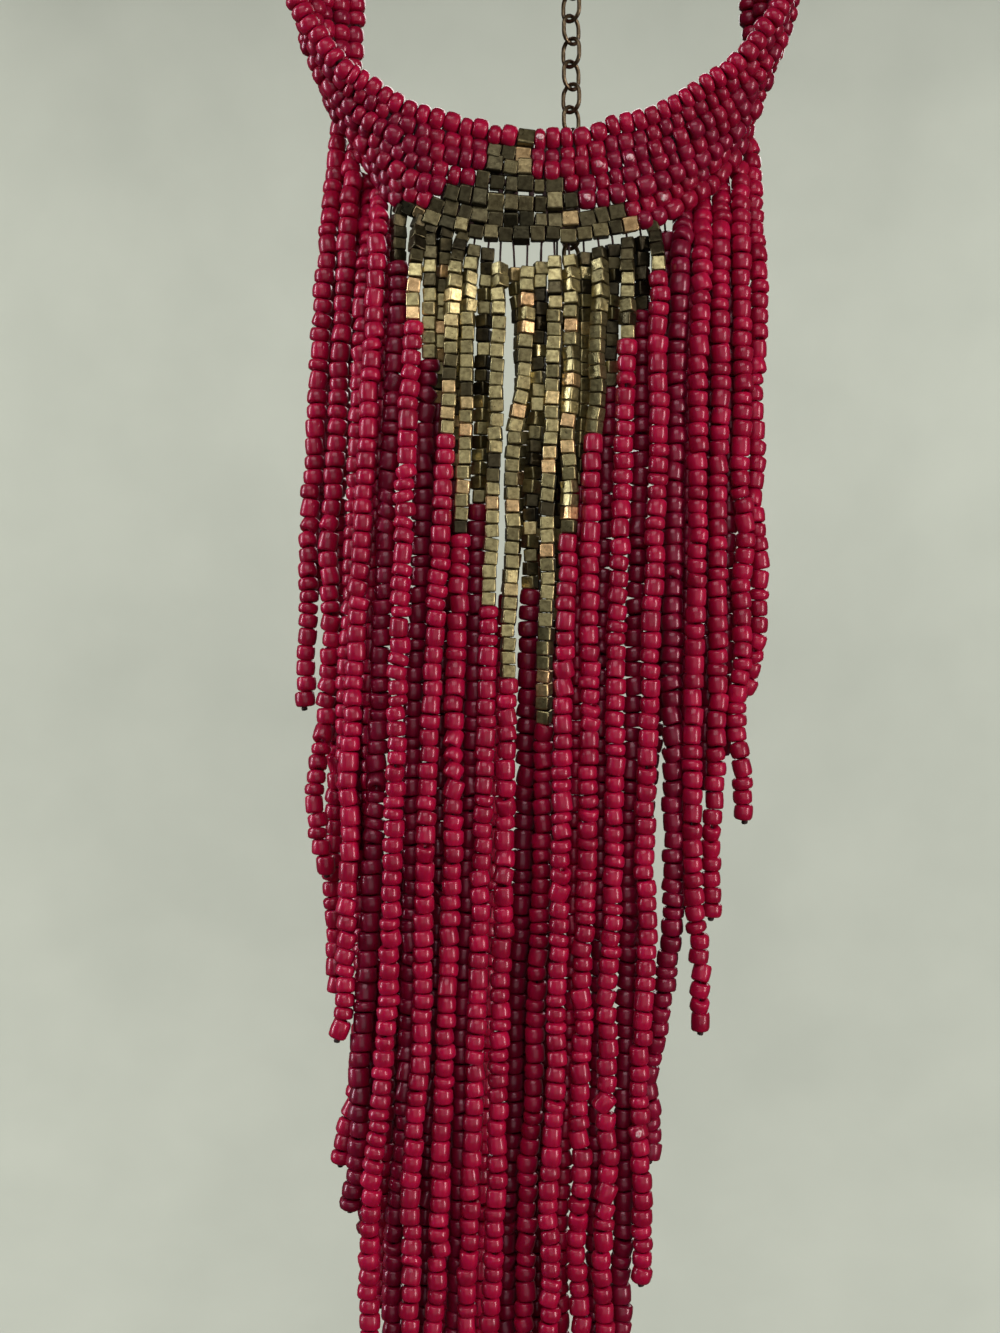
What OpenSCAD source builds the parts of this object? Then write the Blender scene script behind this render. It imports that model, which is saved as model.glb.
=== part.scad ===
// Beaded fringe necklace: a woven band of glass beads closed by a ring at the back,
// a long fringe of bead strings under its front, and an extender chain.
// Origin: the inner top of the clasp ring, where the necklace hangs. +Z is up, -Y is the front.
// All sizes are millimetres.

/* [Beads] */
// Diameter of the round glass beads
bead_d = 4.1; // [3.6:0.1:4.1]
// Width of the square brass beads
cube_w = 3.2; // [2.6:0.1:3.3]
// Diameter of the bare thread above the first bead
thread_d = 0.9; // [0.6:0.1:1.2]
// Diameter of the knot under the last bead
knot_d = 1.5; // [1:0.1:2.4]

/* [Collar] */
// Rows of beads in the woven band
collar_rows = 7; // [5:1:8]
// Thickness of the band through a row of beads
collar_t = 3.9; // [3:0.1:4.2]
// Thickness of the band between two rows
collar_groove_t = 2.9; // [2:0.1:3.6]

/* [Clasp] */
// Wire of the clasp ring
ring_wire_d = 1.4; // [1:0.1:1.6]
// Width of the clasp ring, outside
ring_w = 14.4; // [13.6:0.1:15]
// Height of the clasp ring, outside
ring_h = 6.4; // [6:0.1:7]
// Thickness of an end bar along the band
bar_t = 2.2; // [1.6:0.1:2.6]
// Depth of an end bar across the band's thickness
bar_depth = 4.6; // [4:0.1:5.4]
// Length of an end bar
bar_l = 26; // [24:0.5:28]
// Wire of the eye on each end bar
eye_wire_d = 0.9; // [0.7:0.1:1]
// Diameter of the hole in each eye
eye_hole_d = 2.9; // [2.6:0.1:3]

/* [Extender chain] */
// Number of links
link_count = 28; // [20:1:28]
// Length of a link, outside
link_l = 7.2; // [7:0.1:7.6]
// Width of a link, outside
link_w = 5.8; // [5.4:0.1:6]
// Wire of a link
link_wire_d = 0.95; // [0.8:0.05:1]
// Turn of every second link about the chain's line
link_turn = 45; // [40:1:50]

/* [Hidden] */
strand_count = 40;
function strand_name(i) = str("strand_", i < 9 ? "0" : "", i + 1);

// Clear distance between pieces that hang on each other
gap = 0.15;
// Clear distance under the chain's first link, which crosses the ring's wire at a slant
hook_gap = 0.3;
crimson = "#8a0a24";
brass = "#7d6b45";

// The band's two edge rows, from the left end bar down round the front and up to the right end bar.
// Columns: top row x, y, z, then bottom row x, y, z, then how far the middle rows belly outwards.
collar_path = [
    [-14.5, -8.5, 2.5, -9.5, 8.5, -10.5, 0],
    [-25, -8.5, -2, -18, 8.5, -14, 0.5],
    [-36, -8.5, -10, -27, 8.5, -20, 1],
    [-46, -8.5, -20.5, -35, 8.5, -28.5, 1.5],
    [-53.5, -8.5, -33, -41.5, 8.5, -39, 2],
    [-58.5, -8.5, -47, -45.5, 8.5, -51, 2],
    [-61, -9, -62, -46.5, 8.5, -64, 2.5],
    [-60.5, -9.5, -75, -46.5, 8.5, -78, 3.5],
    [-57, -10, -87, -47, 8.5, -93, 3.5],
    [-51.5, -10.5, -95.5, -47.5, 7.5, -105, 3],
    [-46.5, -10.5, -101.5, -44.5, 5, -114, 2],
    [-42, -9, -104, -40, 1, -122, 1.5],
    [-35.5, -7.5, -108, -35, -3, -128.5, 1],
    [-26.5, -6.5, -111, -27, -4.5, -133, 0.5],
    [-18, -6, -113, -18, -5, -135.5, 0],
    [-8, -5.5, -115, -8, -5.5, -136, 0],
    [1, -5.5, -115, 2, -5.5, -136, 0],
    [10, -6, -113, 11.5, -5, -135, 0],
    [19, -7, -110.5, 21, -3.5, -132, 0.5],
    [26.5, -9, -107.5, 31, 0, -125.5, 1],
    [32, -10, -104, 37.5, 4.5, -118, 1.5],
    [37.5, -10.5, -100.5, 42.5, 7.5, -109.5, 2],
    [43, -11, -94, 44.5, 8.5, -99, 3],
    [48.5, -10.5, -86, 44.5, 9, -86.5, 4],
    [51, -10, -75, 44, 9, -75, 3.5],
    [52, -9.5, -62.5, 43, 9, -63.5, 2.5],
    [52, -9, -48, 40, 9, -50.5, 2],
    [48.5, -8.5, -33.5, 36.5, 8.5, -38.5, 2],
    [42.5, -8.5, -20.5, 30.5, 8.5, -28.5, 1.5],
    [33.5, -8.5, -10, 24, 8.5, -20, 1],
    [24, -8.5, -2, 17, 8.5, -14, 0.5],
    [14.5, -8.5, 2.5, 9.5, 8.5, -10.5, 0],
];
// Sections drawn between two rows of the table
collar_steps = 2;

// The fringe: 32 strings from left to right, then eight that hang behind them. Each row: length of
// bare thread, height where brass ends and glass starts (the start of the string where it has no
// brass), then the route from the band to the knot.
BARE = 0;
BRASS_END = 1;
ROUTE = 2;
strands = [
    [0.5, 0, [[-50.3, 11, -105], [-50.6, 11, -108], [-51.4, 9.5, -116], [-52.2, 6.5, -127],
        [-53, 3.5, -140], [-54.5, 3.5, -156], [-54.5, 3.5, -162], [-56, 3.5, -188], [-57.2, 3.5, -204],
        [-57, 3.5, -218], [-58, 3.5, -243]]],
    [0.5, 0, [[-46.6, 10.5, -111], [-47.2, 8, -115.5], [-47.3, 5.2, -119.5], [-47.7, 2.4, -131],
        [-49.5, 2, -161], [-51, 2, -190], [-53, 2, -208], [-51.5, 2, -221], [-52.5, 2, -240],
        [-56, 2, -263], [-52.5, 2, -281]]],
    [0.5, 0, [[-46.4, 11.5, -117], [-46, 10.5, -124], [-46, 7, -140], [-48.8, 6.5, -162],
        [-50.5, 6.5, -190], [-51, 6.5, -260], [-52, 6.5, -285], [-50.5, 6.5, -309]]],
    [0.5, 0, [[-43.1, 8, -119], [-43.3, 6.8, -125], [-43.3, 4, -131], [-44, 0.3, -144],
        [-45.5, -0.5, -180], [-47, -0.5, -218], [-48.5, -0.5, -240], [-48, -0.5, -258],
        [-44.7, -0.5, -290], [-43.6, -0.5, -304], [-45.7, -0.5, -328], [-49, -0.5, -340],
        [-49.5, -0.5, -346]]],
    [0.5, 0, [[-40.7, 3.8, -124], [-40.7, 2, -127], [-40.7, -2.6, -131], [-40.8, -4.5, -142],
        [-42.5, -5, -171], [-46.5, -5, -247], [-47.5, -5, -260], [-46.5, -5, -269], [-48.2, -5, -300],
        [-47.7, -5, -308], [-50, -5, -317]]],
    [0.8, 0, [[-38.3, 2.2, -129.5], [-38.3, 3.6, -137], [-38.7, 0, -152], [-40.5, -0.5, -183],
        [-42.5, -0.5, -210], [-43, -0.5, -247], [-42, -0.5, -274], [-39.5, -0.5, -293],
        [-39, -0.5, -308], [-39.5, -0.5, -342], [-40.5, -0.5, -378]]],
    [0.8, -142, [[-36, -2.5, -130.5], [-36, -4.7, -147], [-37.5, -4.7, -180], [-39, -4.7, -206],
        [-40.5, -4.7, -249], [-42.5, -4.7, -290], [-43.4, -4.7, -308], [-44.5, -4.7, -317],
        [-45, -4.7, -344], [-47, -4.7, -355]]],
    [0.8, -156, [[-31.5, -4, -133.5], [-32, -8, -142], [-33.5, -8.9, -175], [-35, -8.9, -208],
        [-36.5, -8.9, -255], [-38.2, -8.9, -308], [-40, -8.9, -330], [-42, -8.9, -349],
        [-42.5, -8.9, -367], [-42, -8.9, -392]]],
    [0.8, -164, [[-28.5, -4.5, -135], [-29, -6.8, -145], [-29, -6.8, -160], [-30.7, -4.7, -184],
        [-31.2, -4.7, -210], [-32.8, -4.7, -240], [-33.2, -4.7, -298], [-34.8, -4.7, -340],
        [-37, -4.7, -358], [-37.5, -4.7, -401]]],
    [0.8, -173, [[-25.5, -4.8, -136], [-26, -4.3, -150], [-27.5, -0.5, -178], [-26, -0.5, -218],
        [-27.5, -0.5, -290], [-29, -0.5, -319], [-30.3, -0.5, -358], [-30.5, -0.5, -395]]],
    [0.8, -181, [[-22, -4.9, -137], [-23.5, -8.6, -145], [-24.6, -9.1, -170], [-26.2, -9.1, -196],
        [-28.5, -8.9, -240], [-30, -8.9, -270], [-30.8, -8.9, -317], [-32.2, -8.9, -334],
        [-33.2, -8.9, -348], [-33, -8.9, -366], [-34, -8.9, -411]]],
    [1, -203, [[-19, -5, -137.8], [-20.3, -7.2, -146], [-21, -7.4, -180], [-22, -7.4, -200],
        [-23.5, -8.9, -240], [-23.8, -8.9, -275], [-26.2, -8.9, -335], [-27.3, -8.9, -370],
        [-28.5, -8.9, -382], [-29, -8.9, -426]]],
    [1, -196, [[-16, -5.2, -138.1], [-17, -5, -160], [-18, -4.7, -192], [-19, -4.7, -240],
        [-20, -4.7, -262], [-21.8, -4.7, -318], [-22, -4.7, -336], [-24, -4.7, -396], [-25, -4.7, -442]]],
    [4.5, -219, [[-13.2, -5.5, -138.4], [-13.5, -8.6, -150], [-14, -8.6, -165], [-15, -8.6, -196],
        [-16, -8.9, -224], [-17, -8.9, -262], [-18.2, -8.9, -303], [-19.5, -8.9, -340],
        [-21, -8.9, -381], [-22, -8.9, -460]]],
    [5, -216, [[-10.3, -5.3, -138.4], [-10, -4.8, -146], [-8.6, -4.6, -156], [-8.2, -4.8, -175],
        [-9, -1.5, -196], [-11.7, -0.5, -218], [-14.7, -0.5, -247], [-15.5, -0.5, -279],
        [-16.3, -0.5, -311], [-17.5, -0.5, -343], [-18, -0.5, -375], [-18.5, -0.5, -482]]],
    [5.5, -235, [[-7.2, -5.5, -138.4], [-7.4, -8.2, -146], [-7.6, -8.6, -154], [-8.2, -8.6, -170],
        [-10, -8.6, -178], [-11, -8.6, -191], [-10.4, -8.6, -200], [-11.5, -8.9, -222], [-12, -8.9, -250],
        [-12.5, -8.9, -284], [-13.7, -8.9, -319], [-13.8, -8.9, -342], [-15.4, -8.9, -377],
        [-15.5, -8.9, -495]]],
    [4, -215, [[-4.2, -5.5, -138.4], [-4.4, -7, -152], [-5, -7, -173], [-6.5, -5.8, -196],
        [-6.7, -4.7, -219], [-7.3, -2.5, -240], [-8, -0.5, -270], [-10, -0.5, -310],
        [-10.4, -0.5, -335], [-12, -0.5, -356], [-11.7, -0.5, -487]]],
    [3, -245, [[-1.2, -5.5, -138.4], [-1, -8.6, -150], [-2, -8.6, -180], [-3, -8.6, -196],
        [-2.8, -8.6, -214], [-3.5, -8, -235], [-3.7, -4.9, -257], [-3.7, -4.7, -269], [-5.2, -4.7, -305],
        [-5.7, -4.7, -327], [-7, -4.7, -340], [-7.8, -4.7, -381], [-8, -4.7, -482]]],
    [3, -203, [[2, -5.5, -138.3], [2.5, -8.8, -150], [2.5, -8.9, -168], [1.5, -8.9, -182],
        [2.2, -8.9, -193], [1.5, -8.9, -212], [0.6, -8.9, -240], [-0.5, -8.9, -304], [-1.1, -8.9, -313],
        [-0.8, -8.9, -323], [-2.7, -8.9, -353], [-1.8, -8.9, -367], [-2.7, -8.9, -379], [-3, -8.9, -471]]],
    [2, -192, [[5.4, -5.4, -138.2], [5.5, -5, -160], [5, -4.9, -182], [4, -4.7, -220],
        [3.5, -4.7, -262], [2.5, -4.7, -307], [0, -4.7, -357], [0, -4.7, -458]]],
    [1.5, -181, [[8.8, -5.1, -137.8], [9, -8.6, -149], [8, -8.9, -162], [8.5, -8.9, -171],
        [7, -8.9, -184], [6.5, -8.9, -215], [6.6, -8.9, -240], [5.5, -8.9, -288], [4.8, -8.9, -298],
        [5.1, -8.9, -311], [4.1, -8.9, -330], [4.8, -8.9, -345], [3.4, -8.9, -361], [4.4, -8.9, -375],
        [3.7, -8.9, -444]]],
    [0.8, -170, [[12.1, -4.8, -137.2], [11.5, -5, -160], [10.5, -4.8, -184], [9.5, -4.7, -222],
        [9, -4.7, -262], [9.3, -4.7, -296], [8, -4.7, -345], [7.7, -4.7, -430]]],
    [0.8, -160, [[15.4, -4.4, -136.3], [14.8, -8.6, -147], [15, -8.9, -156], [14, -8.9, -184],
        [12.5, -8.9, -222], [11.7, -8.9, -269], [11.4, -8.9, -291], [10.1, -8.9, -307], [10.6, -8.9, -317],
        [9.6, -8.9, -333], [10.8, -8.9, -340], [9, -8.9, -365], [9.9, -8.9, -380], [9.4, -8.9, -415]]],
    [0.8, -153, [[18.5, -3.8, -135.4], [18.5, -4.7, -149], [18, -4.7, -184], [17, -4.7, -218],
        [16, -4.7, -250], [15.3, -4.7, -271], [15.3, -4.7, -291], [14.5, -4.7, -329], [14.4, -4.7, -358],
        [13.6, -4.7, -367], [13.9, -4.7, -400]]],
    [0.8, 0, [[24, -1, -133.2], [24, 1.5, -139], [24.5, 0.5, -150], [23.5, 0, -200], [21.8, 0, -240],
        [18.4, 0, -274], [17.9, 0, -308], [17, 0, -359]]],
    [0.8, -145, [[21.4, -3.3, -134.5], [21.7, -6, -139], [22, -8.5, -149], [21.5, -8.9, -165],
        [21.8, -8.9, -180], [20, -8.9, -225], [18.5, -8.9, -275], [19.5, -8.9, -292], [17.5, -8.9, -318],
        [17.5, -8.9, -338], [18.2, -8.9, -348], [17.7, -8.9, -354], [18.4, -8.9, -359], [17.8, -8.9, -370]]],
    [0.5, 0, [[28.5, 4.5, -126], [28.4, 3, -129], [28, -0.8, -133], [27.4, -3.8, -137],
        [27, -4.7, -142], [26, -4.7, -173], [25, -4.7, -240], [25.4, -4.7, -268], [25.3, -4.7, -294],
        [23.8, -4.7, -298], [23.1, -4.7, -307], [19.3, -4.7, -325], [20.4, -4.7, -335], [20, -4.7, -344]]],
    [0.5, 0, [[31, 8, -128.5], [30.6, 6.5, -133], [29.6, 1, -150], [29, 0, -200], [28.5, 0, -260],
        [28, 0, -288]]],
    [0.5, 0, [[33.2, 7.5, -122], [33, 5, -126], [32.1, -2.8, -137], [31.7, -4.8, -143],
        [31, -6.5, -160], [30.5, -6.5, -205], [29.2, -6.5, -268], [30, -6.5, -286], [31.2, -6.5, -297],
        [31.2, -6.5, -315]]],
    [0.5, 0, [[37.8, 10.8, -116], [37.8, 8.6, -120], [37, 2, -130], [36.5, -1, -136], [36, -3, -159],
        [36.3, -3, -173], [35.6, -3, -188], [35.6, -3, -240], [35, -3, -260], [34, -3, -270],
        [34, -3, -290]]],
    [0.5, 0, [[41.8, 9.1, -116], [41.9, 7, -119], [41.4, 1.8, -130], [41.3, 0.3, -136],
        [41.5, -0.5, -170], [40.8, -0.5, -191], [42.5, -0.5, -202], [41, -0.5, -214],
        [41.5, -0.5, -230], [39.8, -0.5, -242], [41.5, -0.5, -259], [42, -0.5, -268.5]]],
    [0.5, 0, [[44.3, 12, -109], [44.8, 12, -112], [45.6, 11, -116], [45.3, 8, -126], [45, 6, -131],
        [45.8, 3.5, -141], [45.5, 3.5, -158], [44.5, 3.5, -171], [45.5, 3.5, -184], [44.2, 3.5, -194],
        [46, 3.5, -208], [45.5, 3.5, -226], [42.5, 3.5, -240]]],
    // Strings behind the others, from left to right
    [10.5, 0, [[-47.8, 12.4, -107], [-48.5, 13.2, -112], [-50.3, 13.2, -118], [-51.5, 10.8, -131],
        [-52.6, 10.8, -156], [-54, 10.8, -184], [-55.7, 10.8, -203], [-57, 10.8, -217]]],
    [9.5, 0, [[-41, 9.5, -124], [-41, 8.5, -134], [-41.5, 6, -145], [-42, 4, -155], [-45, 3.7, -247],
        [-44.6, 3.7, -263], [-42.2, 3.7, -286], [-43, 3.7, -327], [-43.8, 3.7, -343], [-43.5, 3.7, -363]]],
    [12, -168, [[-28.4, -1.2, -132.5], [-28.4, 3.7, -146], [-29, 3.7, -183], [-30, 3.7, -208],
        [-31, 3.7, -231], [-35.2, 3.7, -263], [-36.4, 3.7, -295], [-37.5, 3.7, -327], [-38.8, 3.7, -375]]],
    [11.5, -190, [[-22.5, -1.6, -134], [-22.6, 3.7, -146], [-23.2, 3.7, -167], [-24.1, 3.7, -194],
        [-21.4, 3.7, -226], [-21.5, 3.7, -250], [-24, 3.7, -311], [-26, 3.7, -375], [-27, 3.7, -430]]],
    [11.5, -228, [[-4, -2.4, -135], [-4, 3.7, -148], [-5.3, 3.7, -194], [-5.9, 3.7, -250],
        [-7.8, 3.7, -311], [-9.8, 3.7, -360], [-10.2, 3.7, -478]]],
    [11.5, -225, [[-0.5, -2.4, -135], [-0.3, 3.7, -147], [0, 3.7, -208], [-1.2, 3.7, -240],
        [-2.6, 3.7, -311], [-4.6, 3.7, -347], [-5.3, 3.7, -470]]],
    [11, 0, [[35.2, 11.2, -120.5], [34.8, 8.6, -133], [34.6, 3, -148], [34.5, 1.3, -158],
        [34, 1.3, -190], [33.6, 1.3, -226], [33.5, 1.3, -249], [34, 1.3, -262]]],
    [9, 0, [[39.6, 13, -114], [39.6, 11.5, -122], [39.5, 6, -136], [39.3, 3.9, -146],
        [39, 3.9, -190], [38.5, 3.9, -220], [37.2, 3.9, -240], [37, 3.9, -254]]],
];
// Sides of a string's tube
strand_sides = 8;
// Height over which a string's width changes
shoulder = 0.9;
// Length of the knot under the last bead
knot_l = 1.4;

link_r = (link_w - link_wire_d) / 2;
link_straight = link_l - link_w;
link_pitch = link_l - 2 * link_wire_d - gap;
ring_r = (ring_h - ring_wire_d) / 2;
ring_straight = ring_w - ring_h;
ring_z = ring_wire_d / 2 - ring_r;
chain_x = 2.8;
first_link_z = ring_z - ring_r + (ring_wire_d + link_wire_d) / 2 + hook_gap - link_r - link_straight / 2;
eye_r = (eye_hole_d + eye_wire_d) / 2;
eye_x = ring_w / 2 - ring_wire_d + eye_hole_d / 2 - gap;
post_d = 1.6;
bar_round = 1;
round_fn = 48;

function unit(v) = v / norm(v);
function point(row, first) = [row[first], row[first + 1], row[first + 2]];

// Smooth curve through four rows of a table, at fraction t between the middle two
function smooth(a, b, c, d, t) =
    0.5 * (2 * b + (c - a) * t + (2 * a - 5 * b + 4 * c - d) * t * t + (3 * b - a - 3 * c + d) * t * t * t);

function smooth_rows(rows, steps) =
    let (last = len(rows) - 1)
    concat(
        [
            for (i = [0 : last - 1])
                for (k = [0 : steps - 1])
                    smooth(rows[max(i - 1, 0)], rows[i], rows[i + 1], rows[min(i + 2, last)], k / steps)
        ],
        [rows[last]]
    );

// Faces of a tube through sections of the same number of points, with both ends closed
function tube_faces(sections, sides) = concat(
    [[for (i = [sides - 1 : -1 : 0]) i]],
    [
        for (s = [0 : sections - 2])
            for (i = [0 : sides - 1])
                let (
                    here = s * sides + i,
                    beside = s * sides + (i + 1) % sides
                )
                each [
                    [here, beside + sides, here + sides],
                    [here, beside, beside + sides]
                ]
    ],
    [[for (i = [0 : sides - 1]) (sections - 1) * sides + i]]
);

module tube(sections) {
    sides = len(sections[0]);
    polyhedron(
        points = [for (section = sections) each section],
        faces = tube_faces(len(sections), sides),
        convexity = 10
    );
}

// Outline of the band's section. Columns: fraction of the way from the bottom row to the top row,
// distance beyond that row along the band's width, distance from the middle of the weave.
half_t = collar_t / 2;
groove = collar_groove_t / 2;
rim = 0.72 * half_t;
last_row = collar_rows - 1;
side_steps = [for (i = [0 : 2 * last_row]) [i / (2 * last_row), i % 2 == 0 ? half_t : groove]];
collar_outline = concat(
    [for (s = side_steps) [s[0], 0, s[1]]],
    [[1, rim, rim], [1, half_t, 0], [1, rim, -rim]],
    [for (i = [2 * last_row : -1 : 0]) [side_steps[i][0], 0, -side_steps[i][1]]],
    [[0, -rim, -rim], [0, -half_t, 0], [0, -rim, rim]]
);

function collar_section(row, along) =
    let (
        top = point(row, 0),
        low = point(row, 3),
        across = unit(top - low),
        out = unit(cross(along, across))
    )
    [
        for (p = collar_outline)
            low + (top - low) * p[0] + across * p[1] + out * (p[2] + row[6] * 4 * p[0] * (1 - p[0]))
    ];

module collar_band() {
    rows = smooth_rows(collar_path, collar_steps);
    last = len(rows) - 1;
    middle = [for (row = rows) (point(row, 0) + point(row, 3)) / 2];
    color(crimson)
        tube([
            for (i = [0 : last])
                collar_section(rows[i], unit(middle[min(i + 1, last)] - middle[max(i - 1, 0)]))
        ]);
}

// Numbers of a list from the highest to the lowest
function downwards(list) =
    len(list) < 2 ? list :
    let (
        middle = list[floor(len(list) / 2)],
        above = [for (v = list) if (v > middle) v],
        same = [for (v = list) if (v == middle) v],
        below = [for (v = list) if (v < middle) v]
    )
    concat(downwards(above), same, downwards(below));

// One string of the fringe: thread, brass beads, glass beads and knot, as a tube of level rings
module strand(data) {
    route = data[ROUTE];
    top = route[0][2];
    end = route[len(route) - 1][2];
    beads_top = top - data[BARE];
    brass_end = min(data[BRASS_END], beads_top - shoulder);
    knot_top = end + knot_l;
    upper_d = data[BRASS_END] < 0 ? cube_w : bead_d;
    widths = [
        [top, thread_d],
        [beads_top, thread_d],
        [beads_top - shoulder, upper_d],
        [brass_end, upper_d],
        [brass_end - shoulder, bead_d],
        [knot_top + shoulder, bead_d],
        [knot_top, knot_d],
        [end, knot_d]
    ];
    breaks = data[BRASS_END] < 0 ? [0 : 7] : [0, 1, 2, 5, 6, 7];
    inner = [for (i = [1 : len(route) - 2]) route[i][2]];
    levels = downwards(concat([for (i = breaks) widths[i][0]], inner));
    turn = 180 / strand_sides;
    tube([
        for (z = levels)
            let (
                x = lookup(z, [for (p = route) [p[2], p[0]]]),
                y = lookup(z, [for (p = route) [p[2], p[1]]]),
                r = lookup(z, widths) / 2
            )
            [
                for (i = [0 : strand_sides - 1])
                    [
                        x + r * cos(turn + 360 * i / strand_sides),
                        y + r * sin(turn + 360 * i / strand_sides),
                        z
                    ]
            ]
    ]);
}

// Closed oval of round wire in the XZ plane, centred on the origin: radius of its round ends along
// the middle of the wire, length of its straight sides, and wire
module oval(end_r, straight, wire) {
    for (side = [0, 180])
        rotate([0, side, 0]) {
            translate([straight / 2, 0, 0])
                rotate([90, 0, 0])
                    rotate_extrude(angle = 180, start = -90, $fn = round_fn)
                        translate([end_r, 0])
                            circle(d = wire, $fn = round_fn);
            translate([0, 0, end_r])
                rotate([0, 90, 0])
                    cylinder(d = wire, h = straight, center = true, $fn = round_fn);
        }
}

module clasp_ring() {
    color(brass)
        translate([0, 0, ring_z])
            oval(ring_r, ring_straight, ring_wire_d);
}

module extender_chain() {
    color(brass)
        for (i = [0 : link_count - 1])
            translate([chain_x, 0, first_link_z - i * link_pitch])
                rotate([0, 0, i % 2 == 0 ? link_turn : -link_turn])
                    rotate([0, 90, 0])
                        oval(link_r, link_straight, link_wire_d);
}

// Bar with round corners along its length, on the XY plane, length along Z
module rounded_bar(size, round) {
    linear_extrude(size[2], center = true) {
        square([size[0] - 2 * round, size[1]], center = true);
        square([size[0], size[1] - 2 * round], center = true);
        for (x = [-1, 1])
            for (y = [-1, 1])
                translate([x * (size[0] / 2 - round), y * (size[1] / 2 - round)])
                    circle(r = round, $fn = round_fn);
    }
}

// The left bar closes the band's first section. Its eye hooks the clasp ring.
module left_end_bar() {
    top = point(collar_path[0], 0);
    low = point(collar_path[0], 3);
    across = unit(top - low);
    next = collar_path[1];
    inwards = unit((point(next, 0) + point(next, 3)) / 2 - (top + low) / 2);
    out = unit(cross(inwards, across));
    along = cross(across, out);
    place = (top + low) / 2 - along * (bar_t / 2 + gap);
    eye = [-eye_x, 0, ring_z];
    reach = eye - place;
    color(brass) {
        multmatrix([
            [along[0], out[0], across[0], place[0]],
            [along[1], out[1], across[1], place[1]],
            [along[2], out[2], across[2], place[2]],
            [0, 0, 0, 1]
        ])
            rounded_bar([bar_t, bar_depth, bar_l], bar_round);
        translate(place)
            rotate([0, acos(reach[2] / norm(reach)), atan2(reach[1], reach[0])])
                cylinder(d = post_d, h = norm(reach) - eye_r, $fn = round_fn);
        translate(eye)
            rotate_extrude($fn = round_fn)
                translate([eye_r, 0])
                    circle(d = eye_wire_d, $fn = round_fn);
    }
}

module right_end_bar() {
    color(brass)
        mirror([1, 0, 0])
            left_end_bar();
}

collar_band();
left_end_bar();
right_end_bar();
clasp_ring();
extender_chain();
for (i = [0 : strand_count - 1])
    color(crimson)
            strand(strands[i]);
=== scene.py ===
"""Looks of the beaded fringe necklace: each bead, thread and knot, the metal's finish, light and camera.

Tables and sizes named here are in millimetres, and Blender's objects and the lights are in metres.
"""
import math

import bpy
import numpy as np
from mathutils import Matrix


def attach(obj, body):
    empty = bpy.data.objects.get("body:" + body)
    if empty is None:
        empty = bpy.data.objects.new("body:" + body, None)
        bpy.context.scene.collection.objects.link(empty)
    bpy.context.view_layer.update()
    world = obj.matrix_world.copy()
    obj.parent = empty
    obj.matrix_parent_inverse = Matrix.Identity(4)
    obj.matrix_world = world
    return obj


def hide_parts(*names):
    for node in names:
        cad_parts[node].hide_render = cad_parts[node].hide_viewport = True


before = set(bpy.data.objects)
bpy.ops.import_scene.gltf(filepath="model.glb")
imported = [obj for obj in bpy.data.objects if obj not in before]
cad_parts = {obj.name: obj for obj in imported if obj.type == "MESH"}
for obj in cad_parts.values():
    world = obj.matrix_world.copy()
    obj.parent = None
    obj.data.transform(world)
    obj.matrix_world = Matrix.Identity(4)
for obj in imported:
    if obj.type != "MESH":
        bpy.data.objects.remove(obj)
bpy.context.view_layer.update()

MM = 0.001
rng = np.random.default_rng(1207)

# Glass beads. The profile goes from end to end in degrees
BEAD_SIDES = 12
BEAD_PROFILE = (-80, -55, -28, 0, 28, 55, 80)
BEAD_GAP = 0.04
# Kinds of glass bead: share of all, shortest and longest, narrowest and widest, roundest and squarest
GLASS_KINDS = [
    (0.6, 3.1, 3.9, 4.3, 4.75, 3.3, 4.62),
    (0.26, 3.8, 4.6, 4.2, 4.65, 4.18, 6.05),
    (0.14, 2.5, 3.0, 4.5, 4.9, 2.86, 3.74),
]
COLLAR_WIDTHS = (4.4, 5.0)
COLLAR_SHAPES = (2.6, 3.8)

# Square beads
CUBE_SIDE = 3.05
CUBE_CORNER = 0.34
CUBE_BEVEL = 0.27
CUBE_GAP = 0.14
CUBE_SKEW = 0.05
# Least and most length and width, as shares of the side, and the same for corners and bevels
CUBE_LENGTHS = (0.96, 1.05)
CUBE_WIDTHS = (0.96, 1.03)
CORNER_SPREAD = (0.8, 1.2)
BEVEL_SPREAD = (0.7, 1.2)
LEAST_CORNER = 0.12
# How far in the middle line of a bevel lies, and how much smaller its corner is, as shares of the bevel
BEVEL_MIDDLE = 0.29
MIDDLE_CORNER = 0.2
# Loops of faces that are a square bead's dulled edges, the loop of its long sides, and the places in each
# four faces of that loop where the corners are
EDGE_LOOPS = (1, 2, 4, 5)
SIDE_LOOP = 3
CORNER_FACES = (1, 2)

# Holes, and how far out their rims lie, as a share of half a bead's length
HOLE = 1.1
RIM = 0.85

# Fringe
STRANDS = [name for name in sorted(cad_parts) if name.startswith("strand_")]
FRONT = np.array([0, -1, 0])
THREAD = 0.5
THREAD_STEP = 4
# A direction along which no thread runs
OFF_THREAD = (0.3, 1, 0.2)
# The knot's profile
KNOT_RADII = (0.15, 0.62, 0.75, 0.62, 0.15)
KNOT_HEIGHTS = (0.5, 0.38, 0, -0.38, -0.5)
KNOT_SIDES = 10
KNOT_DROP = 0.45
# In the solids: the width of the square beads' stretch, and how far widths and heights may stray
SOLID_CUBES = 3.2
WIDTH_REACH = 0.1
LEVEL_REACH = 0.02
# Millimetres of a string over which its line is smoothed
SMOOTH_SPAN = 11
# How far a string's beads stray from its line along x, y and z, and how much they lean
CUBE_STRAY = (0.08, 0.08, 0)
GLASS_STRAY = (0.16, 0.12, 0)
CUBE_LEAN = 0.045
GLASS_LEAN = 0.09
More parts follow.
